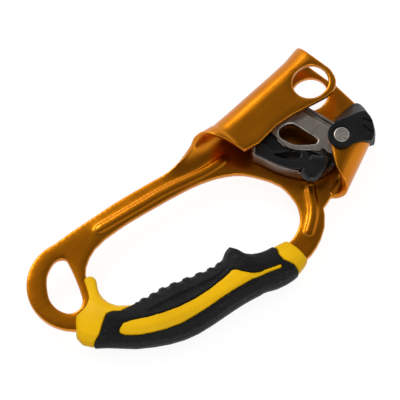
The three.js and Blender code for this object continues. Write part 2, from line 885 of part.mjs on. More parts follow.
function makeCam() {
  const block = join([prism(camOutline(), camBack, camFront), ...camTeeth()]);
  const far = 2 * camReach;
  const inner = headInside(0);
  const floorLine = offset(camBottom(), camBottomWall);
  const reachRight = new THREE.Vector2(camReach / 2, -camReach / 3);
  const hubTop = new THREE.Vector2(-camHubRadius, camTopLine(-camHubRadius, camRidgeStep));
  const noseTop = new THREE.Vector2(
    -camReach + 2 * camHeadWall, camTopLine(-camReach + 2 * camHeadWall, 2 * camRidgeStep),
  );
  const bay = [
    ...inner.filter((p) => p.y < noseTop.y),
    ...floorLine.slice(2, -2),
    reachRight,
    new THREE.Vector2(camReach / 2, -camHubRadius / 2),
    new THREE.Vector2(0, -camHubRadius / 2),
    hubTop.clone().setY(hubTop.y - camRidgeStep),
    noseTop,
  ];
  const openBay = [
    ...armEdge(),
    new THREE.Vector2(camReach / 2, -camHubRadius),
    reachRight,
    ...floorLine.slice(2, -2).reverse(),
    ...inner.filter((p) => p.y < armEdge()[0].y).reverse(),
  ];
  const lip = [
    ...armEdge().slice(0, 3),
    new THREE.Vector2(catchPin.x + catchKnuckle, armEdge()[0].y),
    new THREE.Vector2(catchPin.x + catchKnuckle, -far),
    new THREE.Vector2(-camReach / 2, -far),
    ...camSpiral(camNoseAngle, camTipAngle, () => camNoseSkin)
      .filter((p) => p.y < armEdge()[0].y).reverse(),
  ];
  const lowWall = prism([
    new THREE.Vector2(catchPin.x + catchKnuckle, catchPin.y - far),
    new THREE.Vector2(far, catchPin.y - far),
    new THREE.Vector2(far, -camHubRadius * 1.6),
    new THREE.Vector2(catchPin.x + catchKnuckle, -camHubRadius * 1.6),
  ], shoulderLevel, camFront + overrun);
  const cleaning = camSpiral(196, 222, () => 0, 2);
  const slotTools = [0, 1, 2].map((i) => {
    const at = cleaning[i];
    const tool = new THREE.BoxGeometry(4 * camHeadWall, camReach / 4, slotWidth);
    tool.rotateZ(at.angle()).translate(at.x, at.y, (camBack + camFront) / 2);
    return solid(tool);
  });
  const boreRadius = axleRadius + sleeveWall + 2 * clearance;
  const bodyTools = [
    topStrip(camRidgeStep, camRidgeWidth, camSplit - clearance),
    topStrip(camRidgeWidth + clearance, -far, camSplit + camRidgeRise),
    prism(bay, camFloor, camSplit),
    prism(openBay, camFloor, camFront + overrun),
    prism(lip, camLip, camFront + overrun),
    disc(new THREE.Vector2(), springRadius + springWire + clearance, camFloor, camSplit),
    lowWall,
    disc(catchPin, catchKnuckle + clearance, camFloor, camFront + overrun),
    ...camWindows(),
    disc(new THREE.Vector2(), boreRadius, -overrun, frontFace),
    disc(catchPin, catchPinRadius + clearance, -overrun, frontFace),
    disc(
      catchPin, catchPinHeadRadius + clearance,
      -overrun, camBack + catchPinHeadHeight + clearance,
    ),
    ...slotTools,
  ];
  return cut(block, bodyTools);
}

// Return springs, as one unbroken wire each
function coil(centre, radius, wireRadius, turns, low, high) {
  const points = [];
  const count = turns * coilSteps;
  for (let i = 0; i <= count; i += 1) {
    const angle = (2 * Math.PI * i) / coilSteps;
    const rise = low + wireRadius + ((high - low - 2 * wireRadius) * i) / count;
    points.push(new THREE.Vector3(
      centre.x + radius * Math.cos(angle), centre.y + radius * Math.sin(angle), rise,
    ));
  }
  return wire(points, wireRadius);
}

function makeCamSpring() {
  const low = camFloor + clearance;
  const high = camSplit - clearance;
  return coil(new THREE.Vector2(), springRadius, springWire / 2, springTurns, low, high);
}

// Catch: a moulded lever with a nose over the cam's bottom wall, a thumb hole with a raised
// rim, and a crowned thumb pad. All are shares of the cam's reach
const thumbHoleShares = [
  [-0.405, -0.676],
  [-0.328, -0.56],
  [-0.285, -0.482],
  [-0.24, -0.441],
  [-0.193, -0.441],
  [-0.163, -0.472],
  [-0.166, -0.528],
  [-0.196, -0.577],
  [-0.263, -0.62],
  [-0.35, -0.66],
];

const padShares = [
  [-0.046, -0.6],
  [0.021, -0.613],
  [0.094, -0.604],
  [0.14, -0.55],
  [0.151, -0.46],
  [0.146, -0.386],
  [0.132, -0.31],
  [0.1, -0.25],
  [0.027, -0.222],
  [-0.07, -0.298],
  [-0.125, -0.35],
  [-0.11, -0.42],
  [-0.07, -0.5],
];

// The pad's highest point, and its layers: share of its height, share of its crown
const padTopShare = [-0.005, -0.47];
const padLayers = [[0, 0.2], [0.2, 0], [0.5, 0.1], [0.75, 0.3], [0.92, 0.6], [1, 1]];

// The rear plate's hidden edge, from under the pad to the head, and the bar's upper edge
const plateEdgeShares = [
  [-0.03, -0.52],
  [0.03, -0.44],
  [0.045, -0.37],
  [0.01, -0.29],
  [-0.09, -0.29],
  [-0.17, -0.345],
  [-0.24, -0.39],
  [-0.31, -0.435],
  [-0.42, -0.48],
  [-0.6, -0.495],
];

const barEdgeShares = [
  [-0.03, -0.53],
  [-0.03, -0.48],
  [-0.085, -0.42],
  [-0.14, -0.385],
  [-0.215, -0.395],
  [-0.285, -0.455],
  [-0.36, -0.585],
  [-0.44, -0.645],
  [-0.56, -0.66],
];

function onCam(shares) {
  return shares.map(([x, y]) => new THREE.Vector2(x * camReach, y * camReach));
}

// Room for the cam's front cheek, as the catch sees it when turned by an angle
function cheekRoom(angle) {
  const region = [
    ...armEdge(), new THREE.Vector2(camReach / 2, 0), new THREE.Vector2(-2 * camReach, 0),
  ];
  const seen = region.map((p) => p.clone().rotateAround(catchPin, rad(angle)));
  return prism(grown(seen, clearance), catchFace, frontFace);
}

function makeCatch() {
  const inside = headInside(clearance);
  const leftOfPin = (p) => p.x < catchPin.x + catchPinRadius;
  const floorLine = offset(camBottom(), camBottomWall + clearance).slice(2).filter(leftOfPin);
  const plate = prism([
    ...inside.filter((p) => p.y < plateEdgeShares.at(-1)[1] * camReach && p.y > floorLine[0].y),
    ...floorLine,
    ...onCam(plateEdgeShares),
  ], catchBack, catchFace);
  const nose = camSpiral(camNoseAngle, camTipAngle - 1, () => camNoseSkin + clearance);
  const rimLine = offset(camBottom(), clearance).slice(1).filter(leftOfPin);
  const bar = prism([
    ...nose.filter((p) => p.y < barEdgeShares.at(-1)[1] * camReach),
    ...rimLine,
    ...onCam(barEdgeShares),
  ], camLip + clearance, catchTop);
  const web = prism([...onCam(barEdgeShares), ...floorLine], catchFace - overrun, catchTop);
  const low = shoulderLevel + clearance;
  const rise = catchTop - low;
  const padOutline = smooth(onCam(padShares), 26, true);
  const [padTop] = onCam([padTopShare]);
  const pad = layered(padLayers.map(([z, share]) => {
    return [low + z * rise, shrunk(padOutline, padTop, share * padCrown)];
  }));
  const knuckle = disc(catchPin, catchKnuckle, catchBack, catchTop);
  const springRoom = disc(catchPin, catchKnuckle + clearance, catchBack - overrun, catchBack + cheek);
  return cut(join([plate, web, bar, pad, knuckle]), [
    prism(smooth(onCam(thumbHoleShares), 24, true), -overrun, frontFace),
    disc(catchPin, catchPinRadius + clearance, -overrun, catchPinTop + clearance),
    springRoom,
    cheekRoom(0),
    cheekRoom(catchSwing + 1),
  ]);
}

// The pin's head is at the rear, in the cam, and its front end stops inside the catch
function makeCatchPin() {
  const seat = camBack + catchPinHeadHeight;
  return turned(catchPin, [
    [0, camBack],
    [catchPinHeadRadius * 0.8, camBack],
    [catchPinHeadRadius, camBack + catchPinHeadHeight / 2],
    [catchPinHeadRadius, seat],
    [catchPinRadius, seat],
    [catchPinRadius, catchPinTop],
    [0, catchPinTop],
  ], 18);
}

function makeCatchSpring() {
  const radius = catchPinRadius + clearance + catchSpringWire / 2;
  const low = catchBack;
  const high = catchBack + cheek - clearance;
  return coil(catchPin, radius, catchSpringWire / 2, catchSpringTurns, low, high);
}

// Axle parts

function makeAxle() {
  const front = frontFace + clearance;
  const rim = axleHeadHeight / 4;
  return turned(new THREE.Vector2(), [
    [0, -axleRearHeight - clearance],
    [axleRearRadius * 0.8, -axleRearHeight - clearance],
    [axleRearRadius, -axleRearHeight / 2 - clearance],
    [axleRearRadius, -clearance],
    [axleRadius, -clearance],
    [axleRadius, front],
    [axleHeadRadius, front],
    [axleHeadRadius, front + axleHeadHeight - rim],
    [axleHeadRadius - rim, front + axleHeadHeight],
    [0, front + axleHeadHeight],
  ]);
}

function makeRing(inner, outer, low, high) {
  return turned(new THREE.Vector2(), [
    [inner, low], [outer, low], [outer, high], [inner, high], [inner, low],
  ]);
}

function makeSleeve() {
  const inner = axleRadius + clearance;
  return makeRing(inner, inner + sleeveWall, camBack, frontInner - clearance);
}

function makeWasher() {
  return makeRing(axleRadius + clearance, washerRadius, sheet + clearance, camBack - clearance);
}

// Palm cap: a moulded block over the head's top right corner, with a shell round the axle head

// The cap's foot on the plate and its front face, as x and y shares of the head's top height,
// point for point
const capFootShares = [
  [-0.595, 0.33], [-0.6, 0.6], [-0.59, 0.9], [-0.53, 1.03], [-0.38, 1.06], [-0.1, 1.0],
  [0.2, 0.86], [0.37, 0.7], [0.45, 0.56], [0.3, 0.42], [0, 0.3], [-0.3, 0.3],
];

const capFaceShares = [
  [-0.3, 0.1], [-0.24, 0.3], [-0.175, 0.48], [-0.09, 0.7], [-0.03, 0.765], [0.09, 0.765],
  [0.27, 0.705], [0.43, 0.58], [0.555, 0.38], [0.4, 0.2], [0.2, -0.24], [-0.2, -0.24],
];

// Finger grooves in the cap, from their inner ends to the cap's edge
const capGrooveShares = [
  [[0.041, 0.606], [0.3, 0.714]],
  [[0.158, 0.493], [0.475, 0.529]],
];

function makeCap() {
  const levels = [
    [sheet + clearance, capFootShares, capFootShares, 0],
    [frontFace - capWall, capFootShares, capFaceShares, 0.8],
    [frontFace + capWall, capFootShares, capFaceShares, 1],
  ];
  const rings = levels.map(([z, from, to, mix]) => smooth(from.map(([x, y], i) => {
    const start = new THREE.Vector2(x * headTop, y * headTop);
    const end = new THREE.Vector2(to[i][0] * headTop, to[i][1] * headTop);
    return start.lerp(end, mix);
  }), 40, true).map((p) => new THREE.Vector3(p.x, p.y, z)));
  const block = loft(rings, (p) => new THREE.Vector2(p.x, p.y));
  const boss = disc(new THREE.Vector2(), capBossRadius, frontFace + clearance, frontFace + capWall);
  const far = 2 * camReach;
  const camRoom = [
    new THREE.Vector2(-far, camTopLine(-far) + 4 * clearance),
    new THREE.Vector2(-camHubRadius, camTopLine(-camHubRadius) + 4 * clearance),
    ...[95, 75, 55, 35].map((a) => polar(camHubRadius + 3 * clearance, a)),
    new THREE.Vector2(far, 0),
    new THREE.Vector2(far, -far),
    new THREE.Vector2(-far, -far),
  ];
  const hole = disc(new THREE.Vector2(), axleHeadRadius + clearance, -overrun, 2 * frontFace);
  const grooves = capGrooveShares.flatMap(([from, to]) => {
    const [start, end] = [from, to].map(([x, y]) => new THREE.Vector2(x * headTop, y * headTop));
    const along = end.clone().sub(start).normalize();
    const side = new THREE.Vector2(-along.y, along.x).multiplyScalar(capGrooveWidth / 2);
    const strip = (first, last, low) => prism([
      first.clone().sub(side), last.clone().sub(side), last.clone().add(side), first.clone().add(side),
    ], low, 2 * frontFace);
    const edge = end.clone().addScaledVector(along, -capGrooveDepth);
    const out = end.clone().addScaledVector(along, headTop);
    return [strip(start, out, frontFace + capWall - capGrooveDepth), strip(edge, out, -overrun)];
  });
  return cut(join([block, boss]), [
    prism(camRoom, -overrun, frontFace + clearance),
    earStrip(clearance),
    hole,
    ...grooves,
  ]);
}

// Grip: stations from the collar down to the horn, as finger-side point, palm-side point and
// depth, all as shares
const gripShares = [
  [[0.169, 0.324], [0.325, 0.316], 0.52],
  [[0.162, 0.342], [0.336, 0.331], 0.66],
  [[0.152, 0.368], [0.343, 0.362], 0.78],
  [[0.142, 0.392], [0.341, 0.388], 0.86],
  [[0.112, 0.425], [0.322, 0.43], 0.92],
  [[0.058, 0.448], [0.304, 0.452], 0.95],
  [[0.002, 0.453], [0.29, 0.468], 0.96],
  [[0.006, 0.478], [0.283, 0.488], 0.97],
  [[0.034, 0.51], [0.266, 0.52], 0.98],
  [[0.018, 0.555], [0.25, 0.57], 1],
  [[-0.024, 0.618], [0.237, 0.628], 1],
  [[-0.068, 0.682], [0.22, 0.69], 1],
  [[-0.088, 0.735], [0.184, 0.75], 0.98],
  [[-0.118, 0.784], [0.122, 0.81], 0.93],
  [[-0.18, 0.82], [0.046, 0.867], 0.86],
  [[-0.245, 0.83], [-0.03, 0.908], 0.78],
  [[-0.31, 0.826], [-0.1, 0.954], 0.7],
  [[-0.345, 0.833], [-0.169, 0.972], 0.62],
  [[-0.375, 0.855], [-0.236, 0.946], 0.48],
];

const gripRoundness = 2.2;

function gripCurve(side) {
  const knots = gripShares.map((row) => plan(...row[side]));
  return new THREE.CatmullRomCurve3(
    knots.map((p) => new THREE.Vector3(p.x, p.y, 0)), false, 'centripetal',
  );
}

// The grip's section at each station, drawn in from the surface by the inset
function gripRings(inset, ringPoints, stations) {
  const finger = gripCurve(0).getPoints(stations);
  const palm = gripCurve(1).getPoints(stations);
  const depth = new THREE.CatmullRomCurve3(
    gripShares.map((row, i) => new THREE.Vector3(i * gripSkin, row[2] * gripHalfDepth, 0)),
    false,
    'centripetal',
  ).getPoints(stations);
  return finger.map((f, i) => {
    const p = palm[i];
    const middle = f.clone().add(p).multiplyScalar(0.5);
    const across = f.clone().sub(p);
    const half = across.length() / 2 - inset;
    across.normalize();
    const ring = [];
    for (let j = 0; j < ringPoints; j += 1) {
      const angle = (2 * Math.PI * j) / ringPoints;
      const c = Math.cos(angle);
      const s = Math.sin(angle);
      const reach = Math.abs(c) ** gripRoundness + Math.abs(s) ** gripRoundness;
      const bulge = 1 / reach ** (1 / gripRoundness);
      const side = c * bulge * half;
      const z = sheet / 2 + s * bulge * (depth[i].y - inset);
      ring.push(new THREE.Vector3(middle.x + across.x * side, middle.y + across.y * side, z));
    }
    return ring;
  });
}

function gripBody(inset, ringPoints = gripRingPoints, stations = gripStations) {
  const away = new THREE.Vector2(1, 0.1);
  const rings = gripRings(inset, ringPoints, stations);
  return loft(rings, (p) => new THREE.Vector2(p.x * away.x + p.y * away.y, p.z));
}

// Ridges across the finger side
function serrations() {
  const curve = gripCurve(0);
  const swollen = gripBody(-gripProud - serrationHeight);
  const step = (serrationTo - serrationFrom) / serrationCount;
  const ridges = [];
  for (let i = 0; i < serrationCount; i += 1) {
    const edge = (share, reach) => {
      const t = serrationFrom + (i + share) * step;
      const at = curve.getPoint(t);
      const run = curve.getTangent(t);
      return new THREE.Vector2(at.x + run.y * reach, at.y - run.x * reach);
    };
    const block = [
      edge(0, -2 * gripSkin),
      edge(0.1, 2 * gripProud + serrationHeight),
      edge(0.5, 2 * gripProud + serrationHeight),
      edge(0.6, -2 * gripSkin),
    ];
    const reach = 0.7 * gripHalfDepth;
    ridges.push(prism(block, sheet / 2 - reach, sheet / 2 + reach).intersect(swollen));
  }
  return join(ridges);
}

// The yellow end pieces and stripe, in plan
const collarEdgeShares = [
  [0.1, 0.36], [0.19, 0.366], [0.225, 0.378], [0.262, 0.38], [0.31, 0.364], [0.4, 0.355],
];
const lowEdgeShares = [
  [-0.02, 1.0], [-0.1, 0.945], [-0.107, 0.92], [-0.14, 0.885], [-0.156, 0.866], [-0.143, 0.848],
  [-0.115, 0.83], [-0.1, 0.78], [-0.2, 0.74],
];

const collarCloseShares = [[0.4, 0.2], [0.1, 0.2]];
const lowCloseShares = [[-0.45, 0.74], [-0.45, 1]];

function through(outline) {
  return prism(outline, -2 * gripHalfDepth, 2 * gripHalfDepth);
}

function topZone(growth = 0) {
  return through(grown(planPoints([...collarEdgeShares, ...collarCloseShares]), growth));
}

function lowZone(growth = 0) {
  return through(grown(planPoints([...lowEdgeShares, ...lowCloseShares]), growth));
}

const stripeShares = [
  [-0.055, 0.85], [0.005, 0.795], [0.075, 0.715], [0.118, 0.62], [0.127, 0.53], [0.124, 0.512],
  [0.137, 0.504], [0.205, 0.476], [0.253, 0.422], [0.272, 0.394], [0.283, 0.4], [0.23, 0.478],
  [0.195, 0.58], [0.173, 0.668], [0.137, 0.748], [0.06, 0.826], [0.01, 0.86], [-0.04, 0.878],
];

function stripe(growth = 0) {
  return through(grown(smooth(planPoints(stripeShares), 34, true), growth));
}

function armRoom() {
  const opening = smooth(planPoints(openingShares), openingSteps, true);
  const outer = grown(opening, armWidth + clearance);
  const inner = grown(opening, -clearance);
  const low = -clearance;
  const high = sheet + clearance;
  return join([
    cut(prism(outer, low, high), [prism(inner, low - overrun, high + overrun)]),
    disc(eyeCentre, eyeOuterRadius + clearance, low, high, eyeSides),
    prism(grown(planPoints(legSideShares), clearance), low, high),
  ]);
}

function eyeRoom() {
  return through(eyeHole(eyeRim));
}

// The lower end's horn beside the eye, and its layers: share of the grip's half depth, growth
// as a share of the grip's skin
const hornShares = [
  [-0.25, 0.901], [-0.28, 0.886], [-0.308, 0.871], [-0.344, 0.855], [-0.378, 0.839],
  [-0.389, 0.825], [-0.379, 0.81], [-0.353, 0.804], [-0.323, 0.812], [-0.296, 0.823],
  [-0.253, 0.83], [-0.209, 0.829], [-0.165, 0.835], [-0.165, 0.87], [-0.2, 0.9],
];
const hornLayers = [[-0.3, -0.55], [-0.18, 0], [0.42, 0], [0.56, -0.55]];

// The crescent for a fingertip, pressed into the cover's front
const recessShares = [
  [-0.013, 0.787], [0.001, 0.737], [0.033, 0.673], [0.068, 0.611], [0.089, 0.562],
  [0.089, 0.526], [0.094, 0.495], [0.114, 0.547], [0.113, 0.603], [0.088, 0.663],
  [0.053, 0.725],
];

function recess() {
  const outline = smooth(planPoints(recessShares), 26, true);
  return cut(prism(outline, sheet, 2 * gripHalfDepth), [gripBody(recessDepth - gripProud)]);
}

function makeGripCore() {
  const skinless = gripBody(gripSkin, innerRingPoints, innerStations);
  const outer = gripBody(0);
  const ends = join([outer.intersect(topZone()), outer.intersect(lowZone())]);
  const ridge = outer.intersect(stripe());
  const horn = layered(hornLayers.map(([level, growth]) => {
    return [level * gripHalfDepth, grown(smooth(planPoints(hornShares), 28, true), growth * gripSkin)];
  }));
  return cut(join([skinless, ends, ridge, horn]), [armRoom(), eyeRoom()]);
}

function makeGripCover() {
  const outer = join([gripBody(-gripProud), serrations()]);
  return cut(outer, [
    gripBody(gripSkin - clearance, innerRingPoints, innerStations),
    topZone(clearance),
    lowZone(clearance),
    stripe(clearance),
    recess(),
    armRoom(),
  ]);
}

// Materials, by finish
const finishes = {
  anodised: [0xb56a08, 0.3, 0.9],
  steel: [0x8a8480, 0.35, 1],
  rivetSteel: [0x9a9a98, 0.3, 1],
  spring: [0xc0c0c0, 0.3, 1],
  blackPlastic: [0x17181a, 0.45, 0],
  blackRubber: [0x1c1c1e, 0.75, 0],
  yellow: [0xe8b406, 0.5, 0],
};

function piece(name, body, finish) {
  const [color, roughness, metalness] = finishes[finish];
  const material = new THREE.MeshStandardMaterial({ color, roughness, metalness });
  const mesh = new THREE.Mesh(geometryOf(body), material);
  mesh.name = name;
  return mesh;
}

const ascender = new THREE.Group();
ascender.add(
  piece('frame', makeFrame(), 'anodised'),
  piece('grip_core', makeGripCore(), 'yellow'),
  piece('grip_cover', makeGripCover(), 'blackRubber'),
  piece('palm_cap', makeCap(), 'blackPlastic'),
  piece('axle_rivet', makeAxle(), 'rivetSteel'),
  piece('axle_sleeve', makeSleeve(), 'rivetSteel'),
  piece('rear_washer', makeWasher(), 'rivetSteel'),
  piece('cam', makeCam(), 'steel'),
  piece('cam_spring', makeCamSpring(), 'spring'),
  piece('catch', makeCatch(), 'blackPlastic'),
  piece('catch_pin', makeCatchPin(), 'rivetSteel'),
  piece('catch_spring', makeCatchSpring(), 'spring'),
);

const box = new THREE.Box3().setFromObject(ascender);
ascender.position.set(-(box.min.x + box.max.x) / 2, -(box.min.y + box.max.y) / 2, -box.min.z);

export default ascender;
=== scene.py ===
"""Finishes, softened edges and studio for the hand ascender, laid out as a Blender add-on.

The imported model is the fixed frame. Every visible piece is a joined and softened copy of the
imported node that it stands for, so its place, size and motion are the node's own.
"""

import math

import bpy
import numpy
from bpy.props import FloatProperty, FloatVectorProperty, IntProperty, PointerProperty
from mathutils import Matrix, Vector
from mathutils.bvhtree import BVHTree


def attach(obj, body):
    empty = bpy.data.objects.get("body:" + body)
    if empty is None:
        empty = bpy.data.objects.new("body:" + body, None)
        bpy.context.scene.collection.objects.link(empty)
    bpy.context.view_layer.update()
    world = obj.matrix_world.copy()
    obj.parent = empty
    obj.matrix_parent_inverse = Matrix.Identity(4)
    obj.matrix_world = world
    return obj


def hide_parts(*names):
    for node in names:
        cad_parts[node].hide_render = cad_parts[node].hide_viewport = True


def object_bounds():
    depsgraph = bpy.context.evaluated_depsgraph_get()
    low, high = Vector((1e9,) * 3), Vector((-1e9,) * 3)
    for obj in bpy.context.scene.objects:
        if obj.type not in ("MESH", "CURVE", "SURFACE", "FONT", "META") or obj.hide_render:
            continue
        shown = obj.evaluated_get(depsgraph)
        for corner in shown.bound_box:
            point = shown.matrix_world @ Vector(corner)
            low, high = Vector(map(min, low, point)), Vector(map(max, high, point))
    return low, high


bl_info = {
    "name": "Hand Ascender",
    "version": (1, 0, 0),
    "blender": (4, 5, 0),
    "location": "View3D > Sidebar > Ascender",
    "description": "Finishes, softened edges and studio for a hand ascender",
    "category": "Object",
}

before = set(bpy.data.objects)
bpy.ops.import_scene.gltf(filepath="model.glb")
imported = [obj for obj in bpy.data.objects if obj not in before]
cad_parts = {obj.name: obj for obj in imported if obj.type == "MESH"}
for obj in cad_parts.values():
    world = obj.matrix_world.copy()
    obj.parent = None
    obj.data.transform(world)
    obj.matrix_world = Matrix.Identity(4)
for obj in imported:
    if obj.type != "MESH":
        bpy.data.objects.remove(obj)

MM = 0.001

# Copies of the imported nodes
JOIN_DISTANCE = 0.002 * MM
PLANE_ANGLE = math.radians(0.5)
SHARP_ANGLE = math.radians(32)
BEVEL_STEPS = 2
WIRE_LEVELS = 2

# Rounds of smoothing after the even grid, by piece
PLATE_ROUNDS = 3
MOULDING_ROUNDS = 2
CASTING_ROUNDS = 1
SMOOTHING = 0.5

# The plate's rims. A turn is one minus the cosine of the angle from the sheet's own face
RIM_NAME = "rim"
FLAT_TURN = 0.08
RIM_TURN = 0.2
SPREAD_ROUNDS = 3
RIM_ROUNDS = 4

# The plate's broad places, which end where the rim's share reaches the limit
BROAD_NAME = "broad"
BROAD_LIMIT = 0.5
KEPT_TRIANGLES = 0.6

# The plate's shading
SHADING_ROUNDS = 12
BLUR_ROUNDS = 4
BLUR_SHARE = 0.6
SOFT_ANGLE = math.radians(14)

# What a noise mostly gives, and the full range of a share
MIDDLE = (0.3, 0.7)
FULL = (0.0, 1.0)

# Sockets of the Mix node, whose names repeat: the share, then the pairs for values and colours
MIX_SHARE = 0
MIX_VALUES = (2, 3)
MIX_COLOURS = (6, 7)
MIXED_VALUE = 0
MIXED_COLOUR = 2

# The studio. The sky fades from the horizon's strength between the heights of the sweep
FLOOR_SIZE = 6
FLOOR_GAP = 0.2 * MM
WHITE = (1, 1, 1, 1)
HORIZON = 1.0
SWEEP = (0.35, 0.95)
SENSOR_MM = 36
CLIP_NEAR = 0.1
CLIP_FAR = 20


def as_lists(box):
    return [list(corner) for corner in box]


CAD_BOX = as_lists(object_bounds())


# ---------------------------------------------------------------- settings


def colour_of(name, default, description):
    return FloatVectorProperty(
        name=name, description=description, default=default,
        subtype="COLOR", size=3, min=0, max=1,
    )


def length_of(name, default, description):
    return FloatProperty(
        name=name, description=description, default=default * MM,
        unit="LENGTH", subtype="DISTANCE", min=0, precision=5,
    )


def share_of(name, default, description):
    return FloatProperty(
        name=name, description=description, default=default, subtype="FACTOR", min=0, max=1,
    )


class PlateSettings(bpy.types.PropertyGroup):
    """The folded and anodised plate"""

    gold: colour_of("Gold", (0.62, 0.2, 0.002), "Dyed oxide on the flat faces")
    deep_gold: colour_of("Deep gold", (0.5, 0.148, 0.001), "Darker cloudy zones of the dye")
    # The bright edge gold is partly worn dye and partly a painted highlight that lights the
    # rims.
    worn_and_highlit_edge_gold: colour_of("Edge gold", (0.82, 0.35, 0.02), "Polished rims, where the dye is thin")
    roughness: share_of("Roughness", 0.29, "Roughness of the flat faces")
    grid: length_of("Plate grid", 0.42, "Grid that rounds the tumbled edges")


class SteelSettings(bpy.types.PropertyGroup):
    """The cam casting, the rivet and the springs"""

    casting: colour_of("Casting", (0.36, 0.315, 0.28), "Dark chromed casting")
    casting_dark: colour_of("Casting dark", (0.2, 0.165, 0.14), "Stains in the casting")
    rivet: colour_of("Rivet", (0.58, 0.53, 0.48), "Turned rivet steel")
    wire: colour_of("Wire", (0.6, 0.6, 0.6), "Drawn spring wire")
    grid: length_of("Casting grid", 0.3, "Grid that rounds the casting's edges")


class MouldedSettings(bpy.types.PropertyGroup):
    """The black moulded cap and catch"""

    black: colour_of("Black", (0.006, 0.0062, 0.007), "Moulded black plastic")
    cap_roughness: share_of("Cap roughness", 0.5, "Satin of the cap")
    cap_shine: share_of("Cap shine", 0.12, "Reflection of the cap")
    catch_roughness: share_of("Catch roughness", 0.2, "Gloss of the catch")
    catch_shine: share_of("Catch shine", 0.4, "Reflection of the catch")
    grid: length_of("Mould grid", 0.25, "Grid that rounds the mouldings' edges")


class GripSettings(bpy.types.PropertyGroup):
    """The two materials of the handle grip"""

    yellow: colour_of("Yellow", (0.98, 0.545, 0.001), "Hard yellow core")
    black: colour_of("Rubber", (0.006, 0.006, 0.0064), "Soft black cover")
    grid: length_of("Grip grid", 0.6, "Grid that rounds the grip's edges")
    softening: IntProperty(
        name="Softening", description="Rounds of smoothing on the grip",
        default=3, min=0, max=10,
    )


class StudioSettings(bpy.types.PropertyGroup):
    """Floor, sky, lamps and camera"""

    floor_tone: share_of("Floor tone", 0.26, "How much light the floor throws back")
    floor_glow: share_of("Floor glow", 0.86, "How white the floor looks in the object's shadow")
    ceiling: share_of("Ceiling", 0.16, "Brightness of the reflected sky overhead")
    sky_light: share_of("Sky light", 0.62, "Soft light that the sky gives from all around")
    key_power: FloatProperty(
        name="Key power", description="Power of the lamp on the left", default=5, unit="POWER",
    )
    fill_power: FloatProperty(
        name="Fill power", description="Power of the lamp on the right", default=2.5,
        unit="POWER",
    )
    azimuth: FloatProperty(
        name="Azimuth", description="Direction that the camera looks from",
        default=math.radians(46), subtype="ANGLE",
    )
    elevation: FloatProperty(
        name="Elevation", description="Height of the camera above the horizon",
        default=math.radians(67), subtype="ANGLE",
    )
    distance: FloatProperty(
        name="Distance", description="From the camera to the object", default=3, unit="LENGTH",
    )
    seen_width: FloatProperty(
        name="Seen width", description="Width of the picture at the object",
        default=0.2, unit="LENGTH", precision=4,
    )
    looked_at: FloatVectorProperty(
        name="Looked at", description="Point in the middle of the picture",
        default=(-0.015096, 0.004092, 0.010911), subtype="XYZ", unit="LENGTH",
    )


# ---------------------------------------------------------------- finishes


def feed(tree, socket, source):
    """Gives a node's input a link or a plain value."""
    if isinstance(source, bpy.types.NodeSocket):
        tree.links.new(source, socket)
    else:
        socket.default_value = source


def add_node(tree, kind, inputs=None, **values):
    made = tree.nodes.new(kind)
    for key, value in values.items():
        setattr(made, key, value)
    for socket, source in (inputs or {}).items():
        feed(tree, made.inputs[socket], source)
    return made


def combined(tree, operation, first, second):
    inputs = {0: first, 1: second}
    return add_node(tree, "ShaderNodeMath", inputs, operation=operation).outputs["Value"]


def map_range(tree, value, given, wanted, curve="LINEAR"):
    """Maps the given range of a value to the wanted one, and holds it there."""
    inputs = {
        "Value": value, "From Min": given[0], "From Max": given[1],
        "To Min": wanted[0], "To Max": wanted[1],
    }
    made = add_node(tree, "ShaderNodeMapRange", inputs, interpolation_type=curve)
    return made.outputs["Result"]


def scaled(colour, share):
    return tuple(share * part for part in colour)


class Finish:
    """A material and short ways to add the nodes of its pattern."""

    def __init__(self, name, **sockets):
        self.material = bpy.data.materials.new(name)
        self.material.use_nodes = True
        self.tree = self.material.node_tree
        self.shader = self.tree.nodes["Principled BSDF"]
        for socket, value in sockets.items():
            self.shader.inputs[socket.replace("_", " ")].default_value = value
        self.place = add_node(self.tree, "ShaderNodeTexCoord").outputs["Object"]

    def stretched(self, scale, degrees=0):
        """The piece's own place, drawn out along one axis and turned about the height."""
        turn = (0, 0, math.radians(degrees))
        return add_node(
            self.tree, "ShaderNodeMapping",
            {"Vector": self.place, "Scale": scale, "Rotation": turn},
        ).outputs["Vector"]

    def noise(self, grain_mm, detail, place=None):
        """A cloudy pattern with clouds of about that size."""
        return add_node(
            self.tree, "ShaderNodeTexNoise",
            {"Vector": place or self.place, "Scale": 1 / (grain_mm * MM), "Detail": detail},
        ).outputs["Fac"]

    def ranged(self, value, given, wanted):
        return map_range(self.tree, value, given, wanted)

    def product(self, first, second):
        return combined(self.tree, "MULTIPLY", first, second)

    def mixed(self, share, first, second):
        """Goes from the first colour to the second as the share goes from nothing to one."""
        made = add_node(self.tree, "ShaderNodeMix", {MIX_SHARE: share}, data_type="RGBA")
        for index, source in zip(MIX_COLOURS, (first, second)):
            is_link = isinstance(source, bpy.types.NodeSocket)
            feed(self.tree, made.inputs[index], source if is_link else (*source, 1))
        return made.outputs[MIXED_COLOUR]

    def colour(self, source):
        feed(self.tree, self.shader.inputs["Base Color"], source)

    def roughness(self, source):
        feed(self.tree, self.shader.inputs["Roughness"], source)

    def bump(self, *layers):
        """Each layer is a height, its depth in millimetres and its strength."""
        inputs = {}
        for height, depth_mm, strength in layers:
            inputs.update(Height=height, Distance=depth_mm * MM, Strength=strength)
            inputs["Normal"] = add_node(self.tree, "ShaderNodeBump", inputs).outputs["Normal"]
        feed(self.tree, self.shader.inputs["Normal"], inputs["Normal"])


